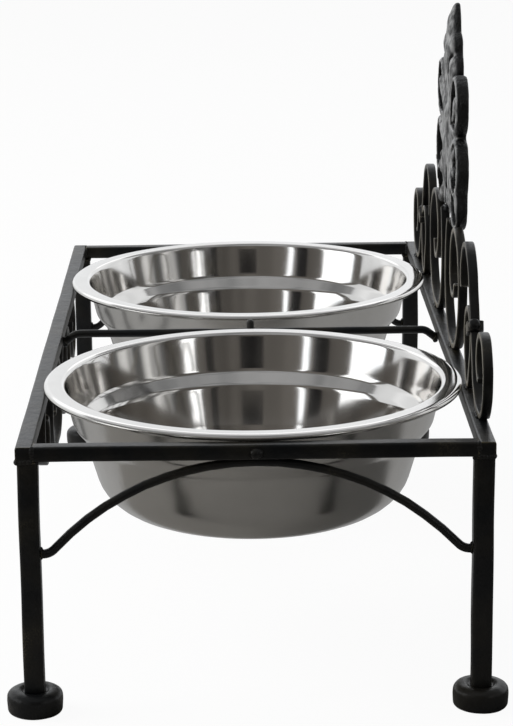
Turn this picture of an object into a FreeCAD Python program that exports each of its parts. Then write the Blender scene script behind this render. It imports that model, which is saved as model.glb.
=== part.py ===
"""Wrought-iron stand for two dog bowls, with a scrolled back panel and a cast palmette crest.

Millimetres. +X runs along the stand, to the right of a dog that faces it, +Y towards the back panel
and +Z up. The origin lies on the floor, under the middle of the stand.
"""
import FreeCAD
import Part
import math
import os

from FreeCAD import Vector

# Bowls: pressed sheet with a flat flange and a rolled edge. Their rims set the size of the frame
rim_diameter = 217.0
rim_bead = 2.8
flange_width = 10.5
flange_round = 2.2
sheet = 0.9
bowl_depth = 67.5
upper_wall_depth = 21.0
upper_wall_lean = 5.0
band_depth = 6.5
band_lean = 5.5
lower_wall_lean = 11.5
band_round = 2.5
base_round = 24.0
bowl_gap = 27.0
bowl_seat_gap = 0.25
rim_rest_side = 2.1
rim_rest_end = 2.6

# Frame: four legs under a welded rectangle of rails
rail_top = 136.0
rail_width = 8.0
rail_height = 7.5
rail_edge_radius = 1.0
rail_proud = 0.4
leg_size = 10.0
leg_edge_radius = 1.6

# Feet: round pads that hold the leg ends in square pockets
foot_diameter = 27.5
foot_height = 12.0
foot_top_round = 4.5
foot_bottom_round = 2.0
foot_floor = 5.0
pocket_clearance = 0.1

# End arches: round bar from leg to leg, touching the end rail at the top
arch_bar = 4.4
arch_rise = 45.0
arch_tail = 1.0
arch_hook_radius = 8.0
weld_gap = 0.1

# Crossbar between the two bowls, with a stud that keeps the rims apart
crossbar_bar = 4.4
crossbar_drop = 0.4
crossbar_bend_radius = 7.0
crossbar_bend_angle = 38.0
crossbar_tail = 7.0
stud_diameter = 4.2
stud_height = 5.0
stud_dome_share = 0.45

# Flat strip that all scrolls are bent from
strip_width = 5.0
strip_thickness = 3.0
panel_rim_clearance = 1.1
weld_flat = 6.0

# Lyre scrolls in the middle of the back panel, which carry the crest
lyre_gap = 19.0
lyre_radius = 37.0
lyre_radius_shares = (1.0, 0.76, 0.6, 0.4, 0.26)
lyre_end_turn = 80.0
lyre_horn_radius = 34.0
lyre_neck_radius = 62.0
lyre_neck_turn = 28.0

# S-scrolls at the ends of the back panel: a curl on the rail, a stem and a crook
crook_gap = 6.5
curl_radius = 21.5
curl_radius_shares = (1.0, 0.88, 0.66, 0.48)
curl_end_turn = 80.0
heel_radius = 26.0
heel_turn = 60.0
stem_run = 50.5
crook_radius = 25.0
crook_rise_turn = 60.0
crook_fall_turn = 84.0
crook_fall_share = 0.8
crook_tip_turn = 30.0
crook_tip_share = 0.62

# Loop links: closed drops that lean on the stems
link_gap = 0.3
link_top_radius = 14.75
link_bottom_radius = 7.0
link_height = 43.0

# Collars that tie each stem to its loop link
collar_wall = 1.6
collar_length = 7.0
collar_clearance = 0.1
collar_edge = 1.1

# Apron scrolls hung under the front rail
apron_gap = 7.0
apron_back = 82.0
apron_outer_radius = 17.5
apron_outer_shares = (1.0, 0.98, 0.76, 0.52)
apron_drop_radius = 26.0
apron_rise_radius = 19.5
apron_run = 26.0
apron_inner_radius = 24.0
apron_inner_shares = (1.0, 0.68, 0.5, 0.38)
apron_end_turn = 70.0

# Crest: cast palmette of rounded petals in tiers over a flat back
crest_thickness = 8.0
crest_seat_gap = 0.25
crest_height = 117.0
crest_half_width = 61.0
calyx_radius = 6.0
calyx_half_width = 26.0
lobe_radius = 15.0
lobe_x = 41.0
lobe_front_share = 0.86
petal_bevel = 1.8
petal_root_share = 0.1
crest_petal_shares = (
    # tip across, root up and tip up, then root and tip radius as shares of the half width, front
    (0.0, 0.25, 0.66, 0.42, 0.28, 0.66),
    (0.73, 0.3, 0.27, 0.1, 0.27, 0.94),
    (0.65, 0.36, 0.56, 0.1, 0.27, 0.9),
    (0.3, 0.48, 0.705, 0.1, 0.15, 0.86),
    (0.2, 0.58, 0.8, 0.1, 0.14, 0.94),
    (0.0, 0.5, 0.904, 0.1, 0.184, 1.0),
    (0.0, 0.12, 0.48, 0.07, 0.12, 0.94),
)
hollow_depth = 3.0
hollow_rim = 4.2
hollow_root_share = 0.5
hollow_rib_share = 0.32
hollow_petal = 2
eye_petal = 1
eye_length = 19.0
eye_width = 8.0

# Places that follow from the sizes above
rim_radius = rim_diameter / 2
bowl_centre_x = rim_radius + bowl_gap / 2
rail_bottom = rail_top - rail_height
rail_inner_x = bowl_centre_x + rim_radius - rim_rest_end
rail_inner_y = rim_radius - rim_rest_side
rail_outer_x = rail_inner_x + rail_width
rail_outer_y = rail_inner_y + rail_width
rail_mid_y = rail_inner_y + rail_width / 2
leg_x = rail_outer_x - rail_proud - leg_size / 2
leg_y = rail_outer_y - rail_proud - leg_size / 2
leg_inner_y = leg_y - leg_size / 2
panel_inner_y = rim_radius + panel_rim_clearance
half_strip = strip_thickness / 2
lyre_x = lyre_gap / 2 + half_strip + lyre_horn_radius + weld_flat / 2

RIGHT = 1
LEFT = -1
ENDS = {"right": RIGHT, "left": LEFT}
SIDES = {"front": -1, "back": 1}
QUARTER = 90.0
HALF_TURN = 180.0
FULL_TURN = 360.0
MM3_PER_CM3 = 1000
UP = Vector(0, 0, 1)


def save(name, shape):
    """Writes one sub-part and says how large it is."""
    shape.exportStep(f"parts/{name}.step")
    print(f"{name:18s} {shape.Volume / MM3_PER_CM3:8.2f} cm3, solids {len(shape.Solids)}, valid {shape.isValid()}")


def box_between(low, high):
    """A box from its two opposite corners."""
    return Part.makeBox(high.x - low.x, high.y - low.y, high.z - low.z, low)


def mirrored(shape, sign):
    """The shape itself for the right end, its mirror image for the left."""
    if sign == RIGHT:
        return shape
    return shape.mirror(Vector(0, 0, 0), Vector(1, 0, 0))


def edges_along(shape, axis):
    """The straight edges of a shape that run along a direction."""
    found = []
    for edge in shape.Edges:
        if isinstance(edge.Curve, Part.Line) and abs(edge.tangentAt(edge.FirstParameter).dot(axis)) > 0.999:
            found.append(edge)
    return found


def heading(degrees):
    """Unit step in a bending plane, counted from the first axis towards the second."""
    return math.cos(math.radians(degrees)), math.sin(math.radians(degrees))


def bent_line(start, angle, moves, offset):
    """Edges of a line that follows tangent arcs and straights, set off to its left.

    Each move is ("run", length) or ("arc", radius, turn); a turn to the left is positive.
    Points are pairs in the bending plane. Gives the edges as point lists and the end of the centre line.
    """
    pieces = []
    across, along = start
    for move in moves:
        forward = heading(angle)
        left = heading(angle + QUARTER)
        if move[0] == "run":
            end = (across + forward[0] * move[1], along + forward[1] * move[1])
            turn = 0
            spots = [(across, along), end]
            lefts = [left, left]
        else:
            radius, turn = move[1], move[2]
            side = math.copysign(1, turn)
            hub = (across + left[0] * radius * side, along + left[1] * radius * side)
            spots = []
            lefts = []
            for share in (0, 0.5, 1):
                aim = heading(angle + turn * share + QUARTER)
                spots.append((hub[0] - aim[0] * radius * side, hub[1] - aim[1] * radius * side))
                lefts.append(aim)
            end = spots[-1]
        pieces.append([(s[0] + n[0] * offset, s[1] + n[1] * offset) for s, n in zip(spots, lefts)])
        across, along = end
        angle += turn
    return pieces, (across, along), angle


def edge_through(points, place):
    """A straight or an arc through points of a bending plane, put into space by place()."""
    spots = [place(*point) for point in points]
    if len(spots) == 2:
        return Part.LineSegment(*spots).toShape()
    return Part.Arc(*spots).toShape()


def strip_solid(start, angle, moves, place, breadth):
    """A flat strip bent on edge along tangent moves, extruded through its breadth."""
    left, _, _ = bent_line(start, angle, moves, half_strip)
    right, _, _ = bent_line(start, angle, moves, -half_strip)
    edges = [edge_through(points, place) for points in left]
    edges.append(edge_through([left[-1][-1], right[-1][-1]], place))
    edges += [edge_through(points[::-1], place) for points in reversed(right)]
    edges.append(edge_through([right[0][0], left[0][0]], place))
    return Part.Face(Part.Wire(edges)).extrude(breadth)


def bar_solid(start, angle, moves, place, diameter):
    """A round bar swept along tangent moves."""
    centre, _, _ = bent_line(start, angle, moves, 0)
    path = Part.Wire([edge_through(points, place) for points in centre])
    first = path.Edges[0]
    section = Part.Wire(Part.Circle(first.valueAt(first.FirstParameter), first.tangentAt(first.FirstParameter),
                                    diameter / 2).toShape())
    return path.makePipeShell([section], True, False)


def rail(low, high, axis):
    """A rail of rolled bar with eased long edges."""
    bar = box_between(low, high)
    return bar.makeFillet(rail_edge_radius, edges_along(bar, axis))


def leg(x, y):
    """A square leg from the floor of its foot pocket to the underside of the rails."""
    half = leg_size / 2
    bar = box_between(Vector(x - half, y - half, foot_floor), Vector(x + half, y + half, rail_bottom))
    return bar.makeFillet(leg_edge_radius, edges_along(bar, UP))


def foot(x, y):
    """A turned pad with a rounded shoulder and a square pocket for the leg."""
    pad = Part.makeCylinder(foot_diameter / 2, foot_height, Vector(x, y, 0))
    top = max(pad.Edges, key=lambda edge: edge.BoundBox.ZMin)
    pad = pad.makeFillet(foot_top_round, [top])
    bottom = min(pad.Edges, key=lambda edge: edge.BoundBox.ZMax)
    pad = pad.makeFillet(foot_bottom_round, [bottom])
    half = leg_size / 2 + pocket_clearance
    pocket = box_between(Vector(x - half, y - half, foot_floor), Vector(x + half, y + half, foot_height))
    return pad.cut(pocket)


def end_arch(sign):
    """A round bar that springs from one leg of an end to the other under the end rail."""
    top = rail_bottom - weld_gap - arch_bar / 2
    half_chord = leg_inner_y - arch_tail
    half_angle = 2 * math.atan(arch_rise / half_chord)
    radius = half_chord / math.sin(half_angle) - arch_hook_radius
    turn = math.degrees(half_angle)
    moves = [
        ("run", arch_tail),
        ("arc", arch_hook_radius, turn),
        ("arc", radius, -2 * turn),
        ("arc", arch_hook_radius, turn),
        ("run", arch_tail),
    ]
    return bar_solid((-leg_inner_y, top - arch_rise), 0, moves, lambda y, z: Vector(sign * leg_x, y, z), arch_bar)


def crossbar():
    """A round bar between the long rails whose ends dip to the rails' inner faces."""
    z = rail_top - crossbar_drop - crossbar_bar / 2
    bend = math.radians(crossbar_bend_angle)
    inset = crossbar_bend_radius * math.sin(bend) + crossbar_tail * math.cos(bend)
    dip = crossbar_bend_radius * (1 - math.cos(bend)) + crossbar_tail * math.sin(bend)
    reach = rail_inner_y + crossbar_bar / 2
    moves = [
        ("run", crossbar_tail),
        ("arc", crossbar_bend_radius, -crossbar_bend_angle),
        ("run", 2 * (reach - inset)),
        ("arc", crossbar_bend_radius, -crossbar_bend_angle),
        ("run", crossbar_tail),
    ]
    bar = bar_solid((-reach, z - dip), crossbar_bend_angle, moves, lambda y, h: Vector(0, y, h), crossbar_bar)
    room = box_between(Vector(-crossbar_bar, -rail_inner_y, 0), Vector(crossbar_bar, rail_inner_y, 2 * rail_top))
    return bar.common(room)


def stud():
    """A round-headed stud on the middle of the crossbar, scribed to the bar."""
    z = rail_top - crossbar_drop - crossbar_bar / 2
    top = rail_top - crossbar_drop + stud_height
    post = Part.makeCylinder(stud_diameter / 2, top - z, Vector(0, 0, z))
    rim = max(post.Edges, key=lambda edge: edge.BoundBox.ZMin)
    post = post.makeFillet(stud_diameter * stud_dome_share, [rim])
    half = rail_inner_y / 2
    seat = Part.makeCylinder(crossbar_bar / 2, 2 * half, Vector(0, -half, z), Vector(0, 1, 0))
    return post.cut(seat)


def rounded_path(corners, rounds):
    """Edges of a chain of straights in the XZ plane whose inner corners are rounded."""
    spots = [Vector(x, 0, z) for x, z in corners]
    edges = []
    start = spots[0]
    for before, corner, after, radius in zip(spots, spots[1:], spots[2:], rounds):
        back = (before - corner).normalize()
        ahead = (after - corner).normalize()
        half = math.acos(max(-1, min(1, back.dot(ahead)))) / 2
        reach = radius / math.tan(half)
        bisector = (back + ahead).normalize()
        middle = corner + bisector * (radius / math.sin(half) - radius)
        edges.append(Part.LineSegment(start, corner + back * reach).toShape())
        edges.append(Part.Arc(corner + back * reach, middle, corner + ahead * reach).toShape())
        start = corner + ahead * reach
    edges.append(Part.LineSegment(start, spots[-1]).toShape())
    return edges


def set_off(corners, distance):
    """The corners of a chain of straights moved sideways by a distance, to the right of its run."""
    lines = []
    for (x0, z0), (x1, z1) in zip(corners, corners[1:]):
        length = math.hypot(x1 - x0, z1 - z0)
        nx, nz = (z1 - z0) / length * distance, -(x1 - x0) / length * distance
        lines.append(((x0 + nx, z0 + nz), (x1 + nx, z1 + nz)))
    moved = [lines[0][0]]
    for (a, b), (c, d) in zip(lines, lines[1:]):
        abx, abz, cdx, cdz = b[0] - a[0], b[1] - a[1], d[0] - c[0], d[1] - c[1]
        share = ((c[0] - a[0]) * cdz - (c[1] - a[1]) * cdx) / (abx * cdz - abz * cdx)
        moved.append((a[0] + abx * share, a[1] + abz * share))
    moved.append(lines[-1][1])
    return moved


def bowl(sign):
    """A pressed bowl: flat flange, steep upper wall, sloping band, lower wall and round base corner."""
    bead = rim_bead / 2
    bead_r = rim_radius - bead
    bead_z = rail_top + bowl_seat_gap + bead
    top = bead_z + bead
    floor = top - bowl_depth + sheet
    opening_r = rim_radius - flange_width
    shoulder_r = opening_r - upper_wall_lean
    band_r = shoulder_r - band_lean
    inside = [
        (bead_r, top),
        (opening_r, top),
        (shoulder_r, top - upper_wall_depth),
        (band_r, top - upper_wall_depth - band_depth),
        (band_r - lower_wall_lean, floor),
        (0, floor),
    ]
    outside = set_off(inside, -sheet)
    inner_rounds = (flange_round, band_round, band_round + sheet, base_round)
    outer_rounds = (flange_round - sheet, band_round + sheet, band_round, base_round + sheet)
    under = top - sheet
    notch = bead_r - math.sqrt(bead ** 2 - (under - bead_z) ** 2)
    outside[0] = (notch, under)
    outside[-1] = (0, top - bowl_depth)
    edges = rounded_path(inside, inner_rounds)
    edges.append(Part.LineSegment(Vector(0, 0, inside[-1][1]), Vector(0, 0, outside[-1][1])).toShape())
    edges += rounded_path(outside, outer_rounds)
    low = Vector(bead_r, 0, bead_z - bead)
    edges.append(Part.Arc(Vector(notch, 0, under), Vector(bead_r - bead, 0, bead_z), low).toShape())
    edges.append(Part.Arc(low, Vector(bead_r + bead, 0, bead_z), Vector(bead_r, 0, top)).toShape())
    profile = Part.Face(Part.Wire(Part.__sortEdges__(edges)))
    turned = profile.revolve(Vector(0, 0, 0), UP, FULL_TURN)
    turned.translate(Vector(sign * bowl_centre_x, 0, 0))
    return turned


def panel_place(x, z):
    """A spot of the back panel's inner face: along the stand, and above the rails."""
    return Vector(x, panel_inner_y, rail_top + z)


def panel_strip(start, angle, moves):
    """A scroll of the back panel, bent from the flat strip."""
    return strip_solid(start, angle, moves, panel_place, Vector(0, strip_width, 0))


def volute(radius, shares, end_turn, sense):
    """Moves of a spiral of tightening quarter turns; the last turn stops short."""
    turns = [QUARTER] * (len(shares) - 1) + [end_turn]
    return [("arc", radius * share, sense * turn) for share, turn in zip(shares, turns)]


def stem_moves():
    """Moves from the S-scroll's foot on the rail, round its heel, to the straight stem."""
    return [("run", weld_flat / 2), ("arc", heel_radius, -heel_turn)]


def s_scroll_at(x):
    """Curl on the rail, straight stem and crook, as one strip whose foot is at x."""
    crook = stem_moves() + [
        ("run", stem_run),
        ("arc", crook_radius, crook_rise_turn),
        ("arc", crook_radius * crook_fall_share, crook_fall_turn),
        ("arc", crook_radius * crook_tip_share, crook_tip_turn),
    ]
    curl = [("run", weld_flat / 2)] + volute(curl_radius, curl_radius_shares, curl_end_turn, 1)
    return panel_strip((x, half_strip), HALF_TURN, crook).fuse(
        panel_strip((x, half_strip), 0, curl)).removeSplitter()


def s_scroll_x():
    """Where the S-scroll stands, so that its crook keeps its gap from the lyre scroll."""
    return lyre_scroll().BoundBox.XMax + crook_gap - s_scroll_at(0).BoundBox.XMin


def stem_foot():
    """Where the straight stem of the S-scroll starts, and its heading."""
    _, spot, angle = bent_line((s_scroll_x(), half_strip), HALF_TURN, stem_moves(), 0)
    return spot, angle


def link_hubs():
    """Centres of the loop link's top and bottom bends: it stands on the rail and leans on the stem."""
    spot, angle = stem_foot()
    normal = heading(angle + QUARTER)
    top_up = link_height - half_strip - link_top_radius
    reach = link_top_radius + strip_thickness + link_gap
    anchor = (spot[0] + normal[0] * reach, spot[1] + normal[1] * reach)
    along = heading(angle)
    slide = (top_up - anchor[1]) / along[1]
    top = (anchor[0] + along[0] * slide, top_up)
    return top, (top[0], link_bottom_radius + half_strip)


def link_outline(offset):
    """Closed drop of two bends and two straights, at a distance from the link's centre line."""
    top, bottom = link_hubs()
    big = link_top_radius + offset
    small = link_bottom_radius + offset
    lean = math.degrees(math.asin((big - small) / (top[1] - bottom[1])))
    aim = heading(-lean)
    corners = []
    for hub, radius in ((top, big), (bottom, small)):
        corners.append([(hub[0] + side * aim[0] * radius, hub[1] + aim[1] * radius) for side in (1, -1)])
    (top_right, top_left), (low_right, low_left) = corners
    crown = (top[0], top[1] + big)
    toe = (bottom[0], bottom[1] - small)
    edges = [
        edge_through([top_right, crown, top_left], panel_place),
        edge_through([top_left, low_left], panel_place),
        edge_through([low_left, toe, low_right], panel_place),
        edge_through([low_right, top_right], panel_place),
    ]
    return Part.Face(Part.Wire(edges))


def loop_link():
    """The loop link: a closed drop of the same strip."""
    ring = link_outline(half_strip).cut(link_outline(-half_strip))
    return ring.extrude(Vector(0, strip_width, 0)).Solids[0]


def collar():
    """A band that ties the S-scroll's stem to the loop link where they come closest."""
    _, angle = stem_foot()
    top, _ = link_hubs()
    normal = heading(angle - QUARTER)
    sag = link_top_radius + half_strip - math.sqrt((link_top_radius + half_strip) ** 2 - (collar_length / 2) ** 2)
    window = 2 * strip_thickness + link_gap + 2 * sag + 2 * collar_clearance
    far = link_top_radius + half_strip + link_gap + strip_thickness + collar_clearance
    centre = far - window / 2
    hole_y = strip_width + 2 * collar_clearance
    outer_n = window + 2 * collar_wall
    outer_y = hole_y + 2 * collar_wall
    band = Part.makeBox(outer_n, outer_y, collar_length, Vector(-outer_n / 2, -outer_y / 2, -collar_length / 2))
    band = band.makeFillet(collar_edge, edges_along(band, UP))
    band = band.cut(Part.makeBox(window, hole_y, 2 * collar_length, Vector(-window / 2, -hole_y / 2, -collar_length)))
    band.rotate(Vector(0, 0, 0), Vector(0, 1, 0), QUARTER - angle)
    middle = panel_place(top[0] + normal[0] * centre, top[1] + normal[1] * centre)
    band.translate(middle + Vector(0, strip_width / 2, 0))
    return band


def lyre_neck_moves():
    """Moves from the rail up the middle of the panel to the crest."""
    return [
        ("run", weld_flat / 2),
        ("arc", lyre_horn_radius, -QUARTER),
        ("arc", lyre_neck_radius, -lyre_neck_turn),
    ]


def lyre_scroll():
    """A large volute on the rail whose outer end rises to the crest."""
    curl = [("run", weld_flat / 2)] + volute(lyre_radius, lyre_radius_shares, lyre_end_turn, 1)
    start = (lyre_x, half_strip)
    return panel_strip(start, HALF_TURN, lyre_neck_moves()).fuse(panel_strip(start, 0, curl)).removeSplitter()


def crest_seat():
    """Height over the rails of the highest corner of a lyre scroll's neck."""
    _, spot, angle = bent_line((lyre_x, half_strip), HALF_TURN, lyre_neck_moves(), 0)
    return spot[1] + abs(heading(angle)[0]) * half_strip


def apron_scroll():
    """A C-scroll under the front rail: a straight back and two volutes that hang from it."""
    inner_y = -rail_mid_y + strip_width / 2
    z = rail_bottom - half_strip

    def place(x, down):
        return Vector(x, inner_y, z - down)

    breadth = Vector(0, -strip_width, 0)
    outer = [("run", apron_back / 2)]
    outer += volute(apron_outer_radius, apron_outer_shares, apron_end_turn, 1)
    inner = [
        ("run", apron_back / 2),
        ("arc", apron_drop_radius, -QUARTER),
        ("arc", apron_rise_radius, -QUARTER),
        ("run", apron_run),
    ]
    inner += volute(apron_inner_radius, apron_inner_shares, apron_end_turn, -1)
    middle = (apron_gap / 2 + half_strip + apron_drop_radius + apron_back / 2, 0)
    return strip_solid(middle, 0, outer, place, breadth).fuse(
        strip_solid(middle, HALF_TURN, inner, place, breadth)).removeSplitter()


def drop_face(root, tip, root_radius, tip_radius, y):
    """A petal outline: a small bend at the root, a large one at the tip and tangent sides."""
    along = tip - root
    length = along.Length
    along.normalize()
    across = along.cross(Vector(0, 1, 0))
    lean = (root_radius - tip_radius) / length
    spread = math.sqrt(1 - lean ** 2)
    lift = Vector(0, y, 0)
    corners = []
    for side in (1, -1):
        normal = across * (side * spread) + along * lean
        corners.append((root + normal * root_radius + lift, tip + normal * tip_radius + lift))
    (near_root, near_tip), (far_root, far_tip) = corners
    edges = [
        Part.LineSegment(near_root, near_tip).toShape(),
        Part.Arc(near_tip, tip + along * tip_radius + lift, far_tip).toShape(),
        Part.LineSegment(far_tip, far_root).toShape(),
        Part.Arc(far_root, root - along * root_radius + lift, near_root).toShape(),
    ]
    return Part.Face(Part.Wire(edges))


def petal(root, tip, root_radius, tip_radius, front, back_y):
    """A cast petal with a bevelled front edge."""
    solid = drop_face(root, tip, root_radius, tip_radius, back_y).extrude(Vector(0, -front, 0))
    rim = [edge for edge in solid.Edges if edge.BoundBox.YMax < back_y - front / 2]
    return solid.makeChamfer(petal_bevel, rim)


def hollow(root, tip, root_radius, tip_radius, front_y):
    """The sunk field of a petal, with a rib left standing along its middle."""
    start = root + (tip - root) * hollow_root_share
    middle_radius = root_radius + (tip_radius - root_radius) * hollow_root_share - hollow_rim
    field = drop_face(start, tip, middle_radius, tip_radius - hollow_rim, front_y - crest_thickness)
    rib = drop_face(start, tip, middle_radius * hollow_rib_share, (tip_radius - hollow_rim) * hollow_rib_share,
                    front_y - crest_thickness)
    return field.cut(rib).extrude(Vector(0, crest_thickness + hollow_depth, 0))


def eye(centre, aim, back_y):
    """A pointed oval through a petal, of two arcs, lying along the petal."""
    ahead = aim.normalize() * (eye_length / 2)
    across = ahead.cross(Vector(0, 1, 0)).normalize() * (eye_width / 2)
    lift = Vector(0, back_y + crest_thickness, 0)
    edges = [
        Part.Arc(centre - ahead + lift, centre + across + lift, centre + ahead + lift).toShape(),
        Part.Arc(centre + ahead + lift, centre - across + lift, centre - ahead + lift).toShape(),
    ]
    return Part.Face(Part.Wire(edges)).extrude(Vector(0, -3 * crest_thickness, 0))


def lobe_height():
    """Height over the rails of a lower lobe's centre, where the lobe rests on a lyre scroll's crown."""
    crown_radius = lyre_radius * lyre_radius_shares[2] + half_strip
    crown_x = lyre_x + weld_flat / 2 + lyre_radius * (1 - lyre_radius_shares[1])
    crown_up = half_strip + lyre_radius * (1 + lyre_radius_shares[1] - lyre_radius_shares[2])
    reach = crown_radius + lobe_radius + crest_seat_gap
    return crown_up + math.sqrt(reach ** 2 - (crown_x - lobe_x) ** 2)


def crest():
    """The cast palmette that stands on the lyre scrolls."""
    floor = rail_top + crest_seat() + crest_seat_gap
    back_y = panel_inner_y + crest_thickness

    def spot(across, up):
        return Vector(across * crest_half_width, 0, floor + up * crest_height)

    shield, *petals = [
        (spot(0, root_up), spot(tip_across, tip_up), root_share * crest_half_width, tip_share * crest_half_width,
         front_share * crest_thickness)
        for tip_across, root_up, tip_up, root_share, tip_share, front_share in crest_petal_shares
    ]
    eye_root, eye_tip = petals[eye_petal - 1][:2]
    lobe_tip = Vector(lobe_x, 0, rail_top + lobe_height())
    lobe = (eye_root, lobe_tip, petal_root_share * crest_half_width, lobe_radius, lobe_front_share * crest_thickness)
    solids = [petal(*shape, back_y) for shape in petals + [lobe]]
    solids += [mirrored(solid, LEFT) for solid in solids if solid.BoundBox.XMin > -solid.BoundBox.XMax]
    root, tip, root_radius, tip_radius, front = petals[hollow_petal - 1]
    cuts = [
        hollow(root, tip, root_radius, tip_radius, back_y - front),
        eye(eye_tip, eye_tip - eye_root, back_y),
        eye(lobe_tip, lobe_tip - eye_root, back_y),
    ]
    cuts += [mirrored(cut, LEFT) for cut in cuts]
    calyx_end = Vector(calyx_half_width - calyx_radius, 0, floor + calyx_radius)
    calyx_start = Vector(-calyx_end.x, 0, calyx_end.z)
    solids.append(petal(calyx_start, calyx_end, calyx_radius, calyx_radius, crest_thickness, back_y))
    return petal(*shield, back_y).multiFuse(solids).cut(cuts).removeSplitter()


def main():
    os.makedirs("parts", exist_ok=True)
    for side, sign in SIDES.items():
        outer, inner = sign * rail_outer_y, sign * rail_inner_y
        low = Vector(-rail_outer_x, min(outer, inner), rail_bottom)
        high = Vector(rail_outer_x, max(outer, inner), rail_top)
        save(f"{side}_rail", rail(low, high, Vector(1, 0, 0)))
    for end, sign in ENDS.items():
        outer, inner = sign * rail_outer_x, sign * rail_inner_x
        low = Vector(min(outer, inner), -rail_inner_y, rail_bottom)
        high = Vector(max(outer, inner), rail_inner_y, rail_top)
        save(f"{end}_end_rail", rail(low, high, Vector(0, 1, 0)))
        for side, depth in SIDES.items():
            save(f"{side}_{end}_leg", leg(sign * leg_x, depth * leg_y))
            save(f"{side}_{end}_foot", foot(sign * leg_x, depth * leg_y))
        save(f"{end}_end_arch", end_arch(sign))
        save(f"{end}_s_scroll", mirrored(s_scroll_at(s_scroll_x()), sign))
        save(f"{end}_loop_link", mirrored(loop_link(), sign))
        save(f"{end}_collar", mirrored(collar(), sign))
        save(f"{end}_lyre_scroll", mirrored(lyre_scroll(), sign))
        save(f"{end}_apron_scroll", mirrored(apron_scroll(), sign))
        save(f"{end}_bowl", bowl(sign))
    save("centre_crossbar", crossbar())
    save("centre_stud", stud())
    save("crest", crest())


main()
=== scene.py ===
# %% [markdown]
# A wrought-iron stand for two dog bowls, drawn the way a smith would make it: bars are carried along
# their bends, bowls are turned from a profile, and the cast crest is heaped up from petals.
# The boxes of the machined model give every new piece its place, and each piece rides on its body.
# Inside the pieces lengths are in millimetres; they become metres at the end.

from math import asin, atan, ceil, cos, degrees, pi, radians, sin

import bmesh
import bpy
from mathutils import Matrix, Vector, noise


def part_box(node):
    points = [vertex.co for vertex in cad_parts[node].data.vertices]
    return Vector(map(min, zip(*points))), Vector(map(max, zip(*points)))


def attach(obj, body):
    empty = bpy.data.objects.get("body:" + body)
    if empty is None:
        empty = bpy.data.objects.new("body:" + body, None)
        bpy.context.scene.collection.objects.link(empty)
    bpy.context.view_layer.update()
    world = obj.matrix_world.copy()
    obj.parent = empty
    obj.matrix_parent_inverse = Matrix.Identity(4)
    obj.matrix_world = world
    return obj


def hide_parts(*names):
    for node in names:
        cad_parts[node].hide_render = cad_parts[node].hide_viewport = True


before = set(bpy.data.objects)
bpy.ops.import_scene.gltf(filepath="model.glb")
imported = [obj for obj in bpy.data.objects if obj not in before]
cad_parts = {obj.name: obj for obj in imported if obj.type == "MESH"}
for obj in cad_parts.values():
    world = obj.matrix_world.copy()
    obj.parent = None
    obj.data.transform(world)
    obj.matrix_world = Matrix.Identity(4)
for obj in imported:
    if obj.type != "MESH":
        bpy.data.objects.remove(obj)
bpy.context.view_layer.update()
noise.seed_set(5)
MM = 0.001
ACROSS, DEEP, UP = Vector((1, 0, 0)), Vector((0, 1, 0)), Vector((0, 0, 1))
ENDS = (("right", 1), ("left", -1))


def box_mm(node):
    """Lowest and highest corner of a node of the machined model, in millimetres."""
    low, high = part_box(node)
    return Vector(low) / MM, Vector(high) / MM


# %% [markdown]
# Shader sums read best as sums. This small class holds one socket of a shader tree, and the usual
# signs between two of them make the maths nodes. Its method called node makes any other node, and
# maths, step and blend are short ways to call it.


# %% Shader sums
class Tone:
    """One socket of a shader tree that can be added, multiplied and compared like a number."""

    def __init__(self, tree, socket=None):
        self.tree = tree
        self.socket = socket

    def node(self, kind, inputs=None, outlet=0, **settings):
        """A new node: its settings first, then its sockets."""
        made = self.tree.nodes.new("ShaderNode" + kind)
        for key, value in settings.items():
            setattr(made, key, value)
        for key, value in (inputs or {}).items():
            if isinstance(value, Tone):
                self.tree.links.new(value.socket, made.inputs[key])
            else:
                made.inputs[key].default_value = value
        return Tone(self.tree, made.outputs[outlet] if made.outputs else None)

    def maths(self, operation, first, second=0.0):
        return self.node("Math", {0: first, 1: second}, operation=operation)

    def __add__(self, other):
        return self.maths("ADD", self, other)

    def __radd__(self, other):
        return self.maths("ADD", other, self)

    def __sub__(self, other):
        return self.maths("SUBTRACT", self, other)

    def __rsub__(self, other):
        return self.maths("SUBTRACT", other, self)

    def __mul__(self, other):
        return self.maths("MULTIPLY", self, other)

    def __rmul__(self, other):
        return self.maths("MULTIPLY", other, self)

    def step(self, low, high):
        """0 below low, 1 above high, and a smooth rise between."""
        return self.node("MapRange", {"Value": self, "From Min": low, "From Max": high},
                         interpolation_type="SMOOTHSTEP")

    def blend(self, dark, light):
        """A colour between dark and light, where this tone goes from 0 to 1."""
        return self.node("Mix", {"Factor": self, 6: dark, 7: light}, outlet=2, data_type="RGBA")


def colour(red, green, blue):
    return (red, green, blue, 1.0)


def new_material(name):
    """An empty material and the start of its shader sums."""
    material = bpy.data.materials.new(name)
    material.use_nodes = True
    material.node_tree.nodes.clear()
    return material, Tone(material.node_tree)


def close(tone, surface):
    """Wire a surface to the output of its tree."""
    tone.node("OutputMaterial", {"Surface": surface})


def grain(tone, scale, detail=3.0, stretch=(1, 1, 1)):
    """Cloudy noise fixed to the object."""
    spot = tone.node("TexCoord", outlet="Object")
    spot = tone.node("Mapping", {"Vector": spot, "Scale": stretch})
    return tone.node("TexNoise", {"Vector": spot, "Scale": scale, "Detail": detail})


print("shader sums ready")

# %% [markdown]
# Black iron is painted by hand and handled often. So the paint is thin on the edges, where brown
# metal shows, and the bar keeps the flat dents of the hammer. The edge is found by comparing the
# true normal with one that is rounded over.


# %% Iron
def front_side(tone, low, high):
    """1 on what faces the front of the stand, 0 on what faces away from it."""
    facing = tone.node("SeparateXYZ", {0: tone.node("NewGeometry", outlet="Normal")}, outlet="Y")
    return (0.0 - facing).step(low, high)


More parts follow.
